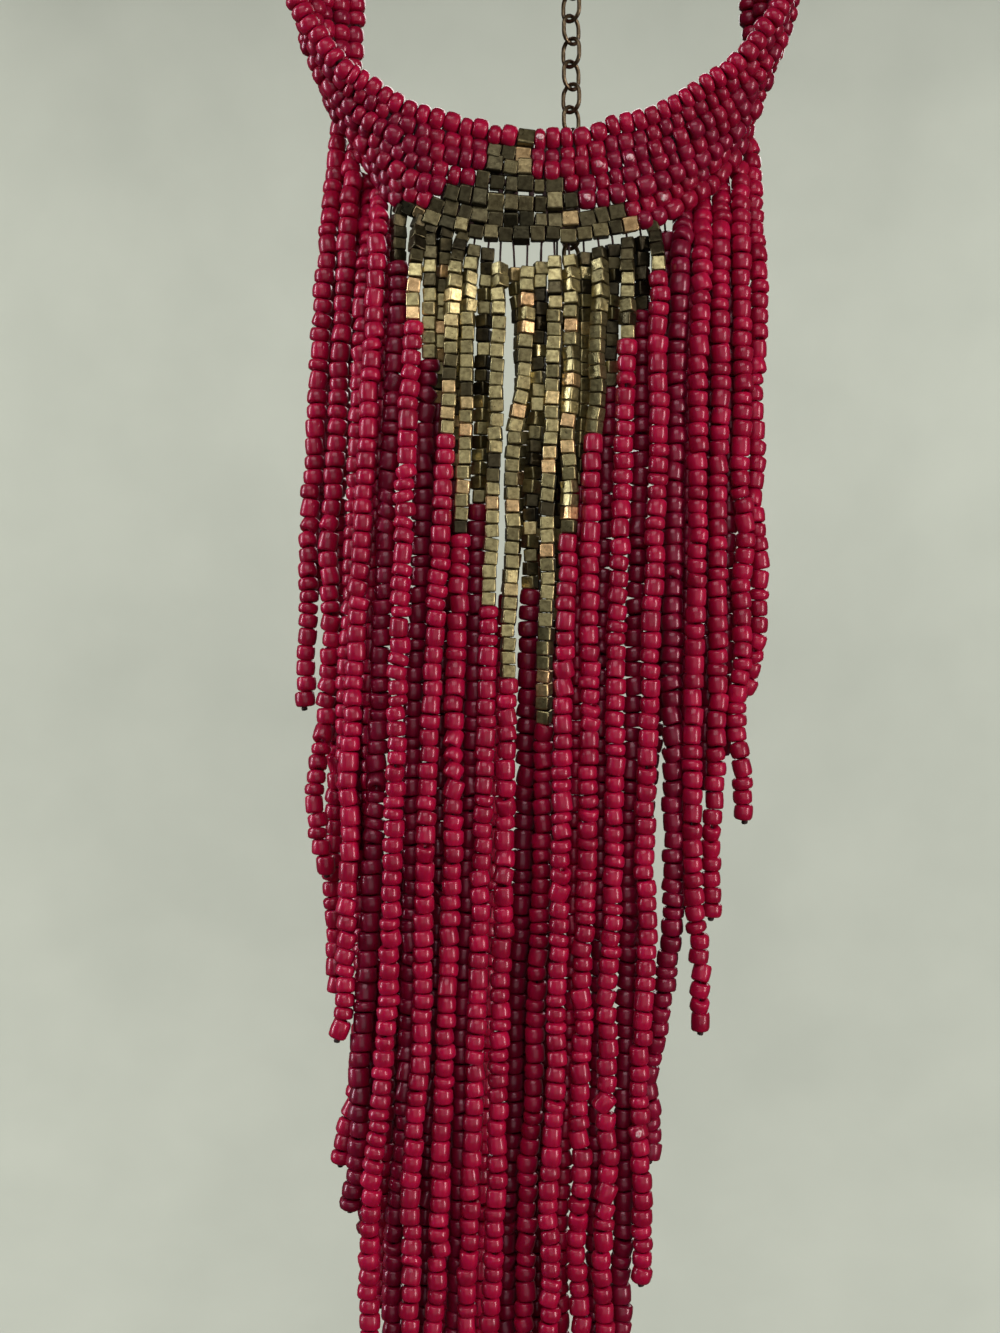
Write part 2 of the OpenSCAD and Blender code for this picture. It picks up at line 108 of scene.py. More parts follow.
# The share of glass beads with the usual lean, the lean of the others, and what each keeps of the last one's
USUAL_LEAN = 0.85
WIDE_LEAN = 0.2
LEAN_KEPT = 0.5
KNOT_LEAN = 0.2
# Tones of glass beads, from dark to light: the usual ones, and the darker ones of strings in shade, which are
# painted shade
GLASS_TONES = (0.5, 0.95)
SHADED_TONES = (0.03, 0.35)
# Strings in shade, whose glass is painted darker as painted shade, and whose beads are wider and squarer
SHADED_STRINGS = [f"strand_{k:02d}" for k in (7, 9, 10, 13, 17, 22, 24, 25, 27, 28, 33, 34, 35, 36, 37, 38, 39, 40)]
SHADED_WIDTH = 1.08
SHADED_SQUARE = 1.2
# Heights above which a string's square beads, just under the band, are painted near black as painted shade,
# the height for other strings, and the share of their tone that is left
SHADE_ABOVE = {"strand_07": -150, "strand_08": -141, "strand_22": -150, "strand_24": -143, "strand_26": -142}
SHADE_TOPS = -142
SHADE_TONE = 0.06
# Chance turn of a string's square beads, in degrees
CUBE_TWIST = 6
# Strings of square beads that turn this way and that, whose tones a power pushes dark as painted shade
TURNED = [f"strand_{k:02d}" for k in (13, 17, 22, 24, 35, 36, 37, 38)]
TURNED_TWIST = 22
TURNED_SHADE_POWER = 3
# Strings whose square beads reach up to the band
HIGH_CUBES = ("strand_07", "strand_08", "strand_09", "strand_10", "strand_11", "strand_26")
# Turns of a string's square beads about its line: the height where each stretch begins, and its degrees
CUBE_TURNS = {
    "strand_07": [(0, 24)],
    "strand_08": [(0, 30), (-141, 6)],
    "strand_09": [(0, -5)],
    "strand_10": [(0, 12)],
    "strand_11": [(0, 3), (-145, 25), (-154, 4)],
    "strand_12": [(0, -4), (-146, 27), (-154, -5)],
    "strand_13": [(0, -10)],
    "strand_14": [(0, 43), (-149, 6)],
    "strand_15": [(0, 20)],
    "strand_16": [(0, 10), (-152, 44), (-159, 8)],
    "strand_17": [(0, 3), (-164, 9), (-173, 2)],
    "strand_18": [(0, -5), (-223, -24)],
    "strand_19": [(0, -10), (-144, -42), (-149, -7), (-163, -38), (-177, -6), (-191, -42), (-201, -10)],
    "strand_20": [(0, 22)],
    "strand_21": [(0, -30), (-148, -44), (-153, -28)],
    "strand_22": [(0, 15)],
    "strand_23": [(0, -6), (-150, -32), (-156, -8)],
    "strand_24": [(0, 28)],
    "strand_26": [(0, -10)],
}

# Collar: the same rows as the solid's. Top row x, y, z, bottom row x, y, z, outward belly
COLLAR_ROWS = 7
COLLAR_PATH = [
    [-14.5, -8.5, 2.5, -9.5, 8.5, -10.5, 0],
    [-25, -8.5, -2, -18, 8.5, -14, 0.5],
    [-36, -8.5, -10, -27, 8.5, -20, 1],
    [-46, -8.5, -20.5, -35, 8.5, -28.5, 1.5],
    [-53.5, -8.5, -33, -41.5, 8.5, -39, 2],
    [-58.5, -8.5, -47, -45.5, 8.5, -51, 2],
    [-61, -9, -62, -46.5, 8.5, -64, 2.5],
    [-60.5, -9.5, -75, -46.5, 8.5, -78, 3.5],
    [-57, -10, -87, -47, 8.5, -93, 3.5],
    [-51.5, -10.5, -95.5, -47.5, 7.5, -105, 3],
    [-46.5, -10.5, -101.5, -44.5, 5, -114, 2],
    [-42, -9, -104, -40, 1, -122, 1.5],
    [-35.5, -7.5, -108, -35, -3, -128.5, 1],
    [-26.5, -6.5, -111, -27, -4.5, -133, 0.5],
    [-18, -6, -113, -18, -5, -135.5, 0],
    [-8, -5.5, -115, -8, -5.5, -136, 0],
    [1, -5.5, -115, 2, -5.5, -136, 0],
    [10, -6, -113, 11.5, -5, -135, 0],
    [19, -7, -110.5, 21, -3.5, -132, 0.5],
    [26.5, -9, -107.5, 31, 0, -125.5, 1],
    [32, -10, -104, 37.5, 4.5, -118, 1.5],
    [37.5, -10.5, -100.5, 42.5, 7.5, -109.5, 2],
    [43, -11, -94, 44.5, 8.5, -99, 3],
    [48.5, -10.5, -86, 44.5, 9, -86.5, 4],
    [51, -10, -75, 44, 9, -75, 3.5],
    [52, -9.5, -62.5, 43, 9, -63.5, 2.5],
    [52, -9, -48, 40, 9, -50.5, 2],
    [48.5, -8.5, -33.5, 36.5, 8.5, -38.5, 2],
    [42.5, -8.5, -20.5, 30.5, 8.5, -28.5, 1.5],
    [33.5, -8.5, -10, 24, 8.5, -20, 1],
    [24, -8.5, -2, 17, 8.5, -14, 0.5],
    [14.5, -8.5, 2.5, 9.5, 8.5, -10.5, 0],
]
CURVE_STEPS = 12
# Threads along the rows, and bundles of thread across them: width, and length of their steps. They are made
# thick so that their dark fills the holes between the beads: partly real thread, partly painted shade
COLLAR_THREAD = (1.5, 3.2)
BUNDLE = (1.3, 1.7)
BUNDLE_SIDES = 5
COLUMN_PITCH = 3.25
COLUMN_SPREAD = (0.9, 1.1)
# Random shift along the band of each row and of each bead in it, as shares of the pitch
ROW_SHIFT = 0.25
BEAD_SHIFT = 0.08
# How far rows lie outwards and inwards in turn, how far each bead strays outwards and upwards, and its lean
ROW_DEPTH = 0.35
OUT_STRAY = 0.2
UP_STRAY = 0.28
COLLAR_LEAN = 0.2
COLLAR_TONES = (0.25, 0.62)
# The top row's beads are wider, and lighter in tone as painted light from above
TOP_WIDER = 0.2
TOP_PAINTED_LIGHT = 0.3
# The band's front: the height under which it lies, its middle, its reach to each side, and the places of
# its rows across the band, from the bottom row to the top row
FRONT_TOP = -100
FRONT_X = -8
FRONT_REACH = 26
FRONT_ROWS = [0, 0.148, 0.33, 0.533, 0.702, 0.83, 1]
# Square beads at the front of each row, from the bottom row to the top row: first and last x
CUBE_SPAN = [
    (-35.6, 17.9),
    (-28.7, 14.6),
    (-25.6, 3.9),
    (-20.2, 2.1),
    (-14.7, -4.9),
    (-15.1, -5.1),
    (-10, -6.6),
]
# How far each row's square beads reach across the band, how much that varies, and their chance turn
CUBE_REACH = [3.2, 3.6, 3.7, 3.5, 3.4, 3.2, 3.6]
REACH_SPREAD = (0.9, 1.15)
COLLAR_TWIST = 10
# Most width of the band's square beads, as a share of the room along their row
TIGHT_CUBE = 1.02

# Chipped beads: x and z of those at the collar's front, the height of one on a string, and their flakes
COLLAR_CHIPS = [(-3, -116.4), (8.3, -121.4), (13.9, -119.7), (5, -128.4), (22.9, -129.4)]
STRING_CHIPS = {"strand_26": -334}
FLAKE_RADII = (0.1, 0.65, 0.85, 0.2)
FLAKE_HEIGHTS = (0.25, 0.14, -0.1, -0.25)
FLAKE_DEPTH = 0.1
FLAKE_SIDES = 8
FLAKE_RADIUS = 0.8
# A direction close to upright, for flakes that face outwards
NEAR_UP = (0, 0.1, 1)

# Colours from the darkest tone to the lightest: place from 0 to 1, and red, green, blue
# The low end of the glass colours also carries the painted shade of the strings in shade
GLASS_COLOURS = [
    (0.0, (0.17, 0.002, 0.022)),
    (0.4, (0.28, 0.002, 0.034)),
    (0.45, (0.31, 0.0015, 0.03)),
    (1.0, (0.5, 0.004, 0.056)),
]
# String brass tones: the darkest stops also carry painted shade, and the two lightest are painted glints of
# copper and gold
CUBE_COLOURS = [
    (0.0, (0.05, 0.042, 0.025)),
    (0.06, (0.13, 0.11, 0.055)),
    (0.14, (0.33, 0.29, 0.145)),
    (0.85, (0.53, 0.46, 0.23)),
    (0.93, (0.85, 0.55, 0.28)),
    (1.0, (0.98, 0.8, 0.4)),
]
# Collar brass tones: the lightest stop is a painted glint of copper
DARK_COLOURS = [
    (0.0, (0.04, 0.036, 0.02)),
    (0.6, (0.1, 0.085, 0.045)),
    (0.9, (0.2, 0.17, 0.085)),
    (1.0, (0.6, 0.4, 0.2)),
]
CHAIN_COLOURS = [(0.0, (0.2, 0.15, 0.09)), (1.0, (0.3, 0.22, 0.13))]
# Colours over the low and high places of a noise. The first two darken what is under them
CLOUD = [(0.35, (0.78, 0.6, 0.7)), (0.65, (1, 1, 1))]
PATINA = [(0.38, (0.45, 0.42, 0.38)), (0.6, (1, 1, 1))]
BROKEN_COLOURS = [(0.35, (0.55, 0.1, 0.16)), (0.6, (0.85, 0.6, 0.62))]
THREAD_COLOURS = [(0.3, (0.008, 0.005, 0.006)), (0.7, (0.05, 0.012, 0.014))]
FLOOR_COLOURS = [(0.3, (0.5, 0.525, 0.455)), (0.7, (0.54, 0.565, 0.49))]

# Camera: the photo's point of view, its focal length and height in the photo's pixels, and the sensor
CAMERA_PLACE = (-13.33, -387, -232.4)
FOCAL_PIXELS = 1710
PICTURE_HEIGHT = 1333
SENSOR = 36

# Floor: where its bend begins, the bend's radius, its height and the wall's top
FLOOR_FLAT = 1500
FLOOR_BEND = 900
FLOOR_HEIGHT = -1100
WALL_TOP = 2600
FLOOR_SIDES = 72
BEND_POINTS = 13

# Lights: place, target, width and height, watts, colour. The washes face the wall and miss the necklace
FRINGE = (0, 0, -0.25)
WASH_COLOUR = (1.0, 1.0, 0.97)
LIGHTS = {
    "front": ((-0.2, -1.2, 0.75), FRINGE, (1.3, 0.7), 7.5, (1.0, 0.98, 0.95)),
    "fill": ((0.15, -1.3, -0.3), FRINGE, (1.2, 1.0), 2.6, (1.0, 0.97, 0.93)),
    "window": ((-1.3, -0.1, 0.1), FRINGE, (0.22, 1.2), 13, (0.95, 0.97, 1.0)),
    "lamp": ((1.0, -0.7, -0.2), FRINGE, (0.22, 1.0), 9, (1.0, 0.9, 0.84)),
    "back": ((0.3, 1.3, 0.6), FRINGE, (1.2, 0.8), 9, (1.0, 0.98, 0.95)),
    "wall_wash": ((0.0, 0.7, 0.6), (0, 2.4, -0.7), (2.0, 0.5), 31, WASH_COLOUR),
    "left_wash": ((-0.7, 0, 0.9), (-2.38, 0, 0.4), (1.5, 1.0), 45, WASH_COLOUR),
    "right_wash": ((0.7, 0, 0.9), (2.38, 0, 0.4), (1.5, 1.0), 45, WASH_COLOUR),
    "near_wash": ((0, -0.7, 0.9), (0, -2.38, 0.4), (1.5, 1.0), 45, WASH_COLOUR),
}
AMBIENT_COLOUR = (0.8, 0.82, 0.78, 1)
AMBIENT_STRENGTH = 0.05


# Lines

def unit(v):
    return v / np.linalg.norm(v)


class Line:
    """A line through points, read by the distance along it."""

    def __init__(self, points):
        self.points = np.asarray(points)
        steps = np.linalg.norm(np.diff(self.points, axis=0), axis=1)
        self.along = np.concatenate([[0], np.cumsum(steps)])
        self.length = self.along[-1]

    def at(self, s):
        return np.array([np.interp(s, self.along, self.points[:, k]) for k in range(3)])

    def at_height(self, z):
        """Distance along a line that only goes down, at a height."""
        return np.interp(-z, -self.points[:, 2], self.along)

    def heading(self, s, reach=1.2):
        return unit(self.at(s + reach) - self.at(s - reach))


def curve(rows, steps):
    """Smooth curve through the rows of a table, with that many steps from row to row."""
    rows = np.asarray(rows, dtype=float)
    padded = np.vstack([rows[0], rows, rows[-1]])
    out = []
    for a, b, c, d in zip(padded, padded[1:], padded[2:], padded[3:]):
        for t in np.arange(steps) / steps:
            out.append(0.5 * (2 * b + (c - a) * t + (2 * a - 5 * b + 4 * c - d) * t ** 2
                              + (3 * b - a - 3 * c + d) * t ** 3))
    return np.array(out + [rows[-1]])


# Bead shapes, about the Z axis, as rings of points

def warped(grid, radius, oval=0.04, wedge=0.08, lumps=0.02):
    """The same rings, a little oval, wedged and lumpy, as hand-made beads are."""
    x, y, z = grid[..., 0], grid[..., 1], grid[..., 2]
    turn = np.arctan2(y, x)
    p, q, s = rng.uniform(0, 2 * math.pi, 3)
    swell = 1 + rng.uniform(0, oval) * np.cos(2 * turn - p) + rng.uniform(0, lumps) * np.cos(3 * turn - q)
    lean = 1 + rng.uniform(0, wedge) * np.hypot(x, y) / radius * np.cos(turn - s)
    return np.stack([x * swell, y * swell, z * lean], axis=-1)


def rings(radii, heights, outline):
    """One closed loop of points for each radius and height; outline is the loop for radius 1."""
    loops = [np.column_stack([r * outline, np.full(len(outline), h)]) for r, h in zip(radii, heights)]
    return np.stack(loops)


def round_outline(sides):
    turn = np.arange(sides) * 2 * math.pi / sides
    return np.column_stack([np.cos(turn), np.sin(turn)])


ROUND = round_outline(BEAD_SIDES)


def glass_bead(length, width, square):
    """A glass bead: a barrel round a hole, rounder or squarer in profile."""
    half, r, hole = length / 2, width / 2, HOLE / 2
    turn = np.radians(BEAD_PROFILE)
    radii = hole + (r - hole) * np.cos(turn) ** (2 / square)
    heights = half * np.sign(turn) * np.abs(np.sin(turn)) ** (2 / square)
    radii = [hole, *radii, hole]
    heights = [-RIM * half, *heights, RIM * half]
    return warped(rings(radii[::-1], heights[::-1], ROUND), r)


def square_loop(half, corner):
    """Rounded square: each corner in three points, and the middle of each side."""
    points = []
    for quarter in range(4):
        start = math.radians(90 * quarter)
        ahead = np.array([math.cos(start), math.sin(start)])
        left = np.array([-ahead[1], ahead[0]])
        points.append(ahead * half)
        inner = half - corner
        for turn in (0, 45, 90):
            a = math.radians(turn)
            points.append(ahead * (inner + corner * math.cos(a)) + left * (inner + corner * math.sin(a)))
    return np.array(points)


def square_bead(length, width):
    """A square metal bead with dulled edges round a hole."""
    half, side = length / 2, width / 2
    bevel = CUBE_BEVEL * rng.uniform(*BEVEL_SPREAD)
    corner = CUBE_CORNER * rng.uniform(*CORNER_SPREAD)
    cut = BEVEL_MIDDLE * bevel
    outer = square_loop(side, corner)
    inner = square_loop(side - bevel, max(corner - bevel, LEAST_CORNER))
    middle = square_loop(side - cut, corner - MIDDLE_CORNER * bevel)
    hole = np.array([unit(p) for p in outer]) * HOLE / 2
    loops = [(hole, RIM * half), (inner, half), (middle, half - cut), (outer, half - bevel),
             (outer, bevel - half), (middle, cut - half), (inner, -half), (hole, -RIM * half)]
    grid = np.stack([np.column_stack([loop, np.full(len(loop), h)]) for loop, h in loops])
    skew = rng.uniform(-CUBE_SKEW, CUBE_SKEW, 2)
    grid[..., 2] += grid[..., 0] * skew[0] + grid[..., 1] * skew[1]
    return grid


# Gathering many beads into one mesh

class Heap:
    """Ring-shaped solids and tubes gathered into one mesh."""

    def __init__(self):
        self.points = []
        self.faces = []
        self.tones = []
        self.flat = []
        self.count = 0

    def add(self, grid, tone=0.5, closed=True, flat=False):
        """Rings of points joined by faces: round a hole if closed, or capped at both ends.

        If flat, they are a square bead, whose faces are flat and whose dulled edges are smooth.
        """
        loops, sides = grid.shape[:2]
        index = self.count + np.arange(loops * sides).reshape(loops, sides)
        after = np.roll(index, -1, axis=1)
        ends = (index, after, np.roll(after, -1, axis=0), np.roll(index, -1, axis=0))
        quads = np.stack(ends, axis=-1)
        if not closed:
            quads = quads[:-1]
            self.faces.append(index[0].tolist())
            self.faces.append(index[-1][::-1].tolist())
            self.flat += [False, False]
        flat_here = np.full(quads.shape[:2], flat)
        if flat:
            flat_here[list(EDGE_LOOPS)] = False
            flat_here[SIDE_LOOP, np.isin(np.arange(sides) % 4, CORNER_FACES)] = False
        self.faces += quads[..., ::-1].reshape(-1, 4).tolist()
        self.flat += flat_here.ravel().tolist()
        self.points.append(grid.reshape(-1, 3))
        self.tones.append(np.full(loops * sides, tone))
        self.count += loops * sides

    def make(self, name, material, slot, nodes):
        mesh = bpy.data.meshes.new(name)
        mesh.from_pydata((np.concatenate(self.points) * MM).tolist(), [], self.faces)
        mesh.polygons.foreach_set("use_smooth", [not f for f in self.flat])
        tone = mesh.attributes.new("tone", "FLOAT", "POINT")
        tone.data.foreach_set("value", np.concatenate(self.tones))
        mesh.materials.append(material)
        mesh.update()
        piece = bpy.data.objects.new(name, mesh)
        bpy.context.collection.objects.link(piece)
        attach(piece, "root")
        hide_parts(*nodes)


def placed(grid, centre, axis, front, twist=0.0, lean=(0, 0, 0)):
    """Rings turned to lie along axis, with a lean, at centre, their +Y side facing front before the twist."""
    axis = unit(axis + np.asarray(lean))
    side = unit(np.cross(front, axis))
    face = np.cross(axis, side)
    c, s = math.cos(math.radians(twist)), math.sin(math.radians(twist))
    x_axis, y_axis = side * c + face * s, face * c - side * s
    return grid @ np.stack([x_axis, y_axis, axis]) + centre


def tube(line, width, step, sides=6):
    """Rings of a thread along a line."""
    outline = round_outline(sides) * width / 2
    grid = []
    for s in np.linspace(0, line.length, max(2, int(line.length / step) + 1)):
        axis = line.heading(s)
        side = unit(np.cross(axis, OFF_THREAD))
        grid.append(line.at(s) + outline @ np.stack([side, np.cross(axis, side)]))
    return np.array(grid)


def add_chip(heap, centre, outward, width):
    """A rough pale flake where a bead is broken at its front."""
    flake = rings(FLAKE_RADII, FLAKE_HEIGHTS, round_outline(FLAKE_SIDES))
    flake = warped(flake, FLAKE_RADIUS, oval=0.3, wedge=0.4, lumps=0.25)
    place = centre + outward * (width / 2 - FLAKE_DEPTH)
    heap.add(placed(flake, place, outward, NEAR_UP), closed=False)


# The fringe

def read_strand(name):
    """A string's middle line, and the distances along it where beads start, brass ends and the knot is."""
    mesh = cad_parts[name].data
    points = np.array([v.co for v in mesh.vertices]) / MM
    levels = np.unique(np.round(points[:, 2], 2))[::-1]
    near = [points[np.abs(points[:, 2] - z) < LEVEL_REACH] for z in levels]
    loops = [np.unique(np.round(level, 3), axis=0) for level in near]
    middles = np.array([loop.mean(axis=0) for loop in loops])
    reaches = [np.linalg.norm((loop - m)[:, :2], axis=1).max() for loop, m in zip(loops, middles)]
    widths = 2 * np.array(reaches)
    heights = np.arange(levels[0], levels[-1], -1.0)
    window = np.hanning(SMOOTH_SPAN + 2)[1:-1]
    window /= window.sum()
    smooth = []
    for k in (0, 1):
        raw = np.interp(-heights, -middles[:, 2], middles[:, k])
        wide = np.pad(raw, SMOOTH_SPAN // 2, mode="reflect", reflect_type="odd")
        smooth.append(np.convolve(wide, window, "valid"))
    line = Line(np.column_stack([*smooth, heights]))
    brass = middles[np.abs(widths - SOLID_CUBES) < WIDTH_REACH]
    first = line.at_height(middles[1, 2])
    brass_end = line.at_height(brass[-1, 2]) if len(brass) else first
    return line, first, brass_end, line.at_height(middles[-2, 2])


def lengths(span, draw):
    """Bead sizes drawn until they fill a span, then fitted to it."""
    sizes = [draw()]
    while sum(size[0] for size in sizes) + sizes[-1][0] / 2 < span:
        sizes.append(draw())
    share = span / sum(size[0] for size in sizes)
    return [(size[0] * share, *size[1:]) for size in sizes]


def draw_glass():
    _, *ends = GLASS_KINDS[rng.choice(len(GLASS_KINDS), p=[kind[0] for kind in GLASS_KINDS])]
    return [rng.uniform(*pair) for pair in zip(ends[::2], ends[1::2])]


def draw_cube():
    return CUBE_SIDE * rng.uniform(*CUBE_LENGTHS), CUBE_SIDE * rng.uniform(*CUBE_WIDTHS)


def add_string_cubes(heap, name, line, first, last):
    """Square beads from one distance along a string to another."""
    s = first
    turned = name in TURNED
    for length, width in lengths(last - first, draw_cube):
        middle = line.at(s + length / 2) + rng.normal(size=3) * CUBE_STRAY
        turns = [turn for height, turn in CUBE_TURNS.get(name, [(0, 0)]) if middle[2] < height]
        twist = turns[-1] + rng.normal() * (TURNED_TWIST if turned else CUBE_TWIST)
        grid = square_bead(length - CUBE_GAP, width)
        lean = rng.normal(size=3) * CUBE_LEAN
        # Turned strings' beads are mostly painted dark as painted shade, and a few reach the painted glints
        tone = rng.random() ** (TURNED_SHADE_POWER if turned else 1)
        # Square beads just under the band are painted dark: painted shade
        tone *= SHADE_TONE if middle[2] > SHADE_ABOVE.get(name, SHADE_TOPS) else 1
        heap.add(placed(grid, middle, -line.heading(s), FRONT, twist, lean), tone, flat=True)
        s += length
    return s


def add_string_glass(heap, chips, name, line, first, last):
    """Glass beads from one distance along a string to another."""
    s = first
    in_shade = name in SHADED_STRINGS
    lean = np.zeros(3)
    for length, width, square in lengths(last - first, draw_glass):
        middle = line.at(s + length / 2) + rng.normal(size=3) * GLASS_STRAY
        sway = rng.normal(size=3)
        lean = LEAN_KEPT * lean + sway * (GLASS_LEAN if rng.random() < USUAL_LEAN else WIDE_LEAN)
        if in_shade:
            width, square = SHADED_WIDTH * width, SHADED_SQUARE * square
        grid = glass_bead(length - BEAD_GAP, width, square)
        # Strings in shade take darker tones: painted shade
        tone = rng.uniform(*(SHADED_TONES if in_shade else GLASS_TONES))
        heap.add(placed(grid, middle, -line.heading(s + length / 2), FRONT, 0, lean), tone)
        if abs(middle[2] - STRING_CHIPS.get(name, 0)) < length / 2:
            add_chip(chips, middle, FRONT, width)
        s += length
    return s


def make_strand(name, band_edge, glass, brass, fibre, broken):
    """One string, from its place at the band's edge to its knot."""
    line, *marks = read_strand(name)
    anchor = band_edge[np.linalg.norm(band_edge - line.at(0), axis=1).argmin()]
    first, brass_end, knot_top = np.array(marks) + np.linalg.norm(anchor - line.at(0))
    line = Line(np.vstack([anchor, line.points]))
    first -= CUBE_SIDE if name in HIGH_CUBES else 0
    cubes, beads, threads, chips = Heap(), Heap(), Heap(), Heap()
    s = first
    if brass_end - first > CUBE_SIDE:
        s = add_string_cubes(cubes, name, line, first, brass_end)
    s = add_string_glass(beads, chips, name, line, s, knot_top)
    threads.add(tube(line, THREAD, THREAD_STEP), closed=False)
    knot = warped(rings(KNOT_RADII, KNOT_HEIGHTS, round_outline(KNOT_SIDES)), max(KNOT_RADII))
    lean = rng.normal(size=3) * KNOT_LEAN
    threads.add(placed(knot, line.at(s + KNOT_DROP), -line.heading(s), FRONT, 0, lean))
    beads.make(name + "_glass", glass, "glass_beads", [name])
    if cubes.count:
        cubes.make(name + "_brass", brass, "antique_brass", [name])
    if chips.count:
        chips.make(name + "_chip", broken, "glass_beads", [name])
    threads.make(name + "_thread", fibre, None, [name])


# The collar

def collar_lines():
    """The rows' lines from the bottom row up, the band's middle line, and its upward and outward sides."""
    dense = curve(COLLAR_PATH, CURVE_STEPS)
    top, low, belly = dense[:, 0:3], dense[:, 3:6], dense[:, 6]
    middle = (top + low) / 2
    along = np.gradient(middle, axis=0)
    across = (top - low) / np.linalg.norm(top - low, axis=1)[:, None]
    out = np.cross(along, across)
    out /= np.linalg.norm(out, axis=1)[:, None]
    near = np.clip(1 - np.abs(middle[:, 0] - FRONT_X) / FRONT_REACH, 0, 1) * (middle[:, 2] < FRONT_TOP)
    near = near * near * (3 - 2 * near)
    rows = []
    for k in range(COLLAR_ROWS):
        even = k / (COLLAR_ROWS - 1)
        share = even + (FRONT_ROWS[k] - even) * near
        lift = belly * 4 * share * (1 - share)
        rows.append(low + (top - low) * share[:, None] + out * lift[:, None])
    return rows, middle, across, out


def make_collar(glass, brass, fibre, broken):
    """The woven band, row by row. Gives back the line of its bottom row, from which the strings hang."""
    rows, middle, across, out = collar_lines()
    band = Line(middle)
    count = round(band.length / COLUMN_PITCH)
    edges = np.cumsum(np.concatenate([[0], rng.uniform(*COLUMN_SPREAD, count)]))
    edges *= band.length / edges[-1]
    cubes, threads, chips = Heap(), Heap(), Heap()
    places = []

    def along_band(values, s):
        return np.array([np.interp(s, band.along, values[:, k]) for k in range(3)])

    for k, row in enumerate(rows):
        beads = Heap()
        is_top = k == COLLAR_ROWS - 1
        low_x, high_x = CUBE_SPAN[k]
        bounds = edges.copy()
        shift = rng.uniform(-ROW_SHIFT, ROW_SHIFT)
        bounds[1:-1] += (shift + rng.normal(size=count - 1) * BEAD_SHIFT) * COLUMN_PITCH
        depth = ROW_DEPTH if k % 2 == 0 else -ROW_DEPTH
        for first, last in zip(bounds, bounds[1:]):
            a, b = along_band(row, first), along_band(row, last)
            here = (first + last) / 2
            outward, upward = along_band(out, here), along_band(across, here)
            centre = (a + b) / 2 + outward * (depth + rng.normal() * OUT_STRAY)
            centre += upward * rng.normal() * UP_STRAY
            room = np.linalg.norm(b - a)
            lean = rng.normal(size=3) * COLLAR_LEAN
            if low_x < centre[0] < high_x and centre[2] < FRONT_TOP:
                grid = square_bead(room - CUBE_GAP, min(CUBE_SIDE, TIGHT_CUBE * room))
                grid[..., 0] *= CUBE_REACH[k] / CUBE_SIDE * rng.uniform(*REACH_SPREAD)
                twist = rng.normal() * COLLAR_TWIST
                cubes.add(placed(grid, centre, b - a, outward, twist, lean / 2), rng.random(), flat=True)
            else:
                width = rng.uniform(*COLLAR_WIDTHS) + (TOP_WIDER if is_top else 0)
                grid = glass_bead(room - BEAD_GAP, width, rng.uniform(*COLLAR_SHAPES))
                # Top-row beads are painted lighter: painted light from above
                tone = rng.uniform(*COLLAR_TONES) + (TOP_PAINTED_LIGHT if is_top else 0)
                beads.add(placed(grid, centre, b - a, outward, 0, lean), tone)
                places.append((centre, outward, width))
        beads.make(f"collar_row_{k + 1}", glass, "glass_beads", ["collar_band"])
        threads.add(tube(Line(row), *COLLAR_THREAD), closed=False)
    for s in edges:
        upright = Line([along_band(row, s) for row in rows])
        threads.add(tube(upright, *BUNDLE, BUNDLE_SIDES), closed=False)
    for x, z in COLLAR_CHIPS:
        add_chip(chips, *min(places, key=lambda place: math.hypot(place[0][0] - x, place[0][2] - z)))
    chips.make("collar_chips", broken, "glass_beads", ["collar_band"])
    cubes.make("collar_cubes", brass, "antique_brass", ["collar_band"])
    threads.make("collar_threads", fibre, None, ["collar_band"])
    return rows[0]


# Materials

